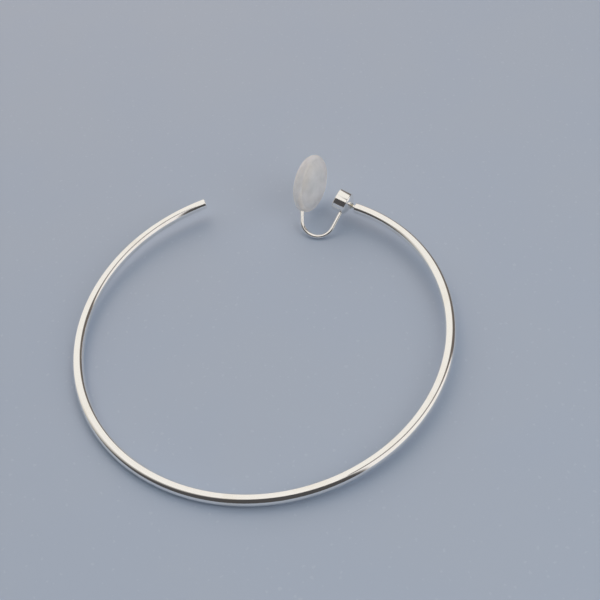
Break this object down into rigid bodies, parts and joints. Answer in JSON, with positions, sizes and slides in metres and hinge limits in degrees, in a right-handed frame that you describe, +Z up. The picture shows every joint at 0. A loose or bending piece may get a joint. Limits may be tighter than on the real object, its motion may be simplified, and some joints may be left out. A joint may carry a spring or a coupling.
{
  "type": "clip-on hoop earring",
  "caption": "Open wire hoop with a small drum, a springy U wire and a soft pad that clip it to an ear lobe without piercing.",
  "frame": {"origin": "middle of the bounding box, on the surface that the earring lies on", "axes": "+Z up from the surface, +Y along the longest extent and towards the clip"},
  "size_m": [0.055, 0.0586, 0.0097],
  "materials": {
    "hoop_metal": "polished silver plate",
    "clip_metal": "polished silver plate",
    "pad_silicone": "milky translucent silicone"
  },
  "bodies": {
    "root": {"hoop": "hoop_metal", "ear_clip": "clip_metal", "ear_pad": "pad_silicone"}
  },
  "joints": []
}
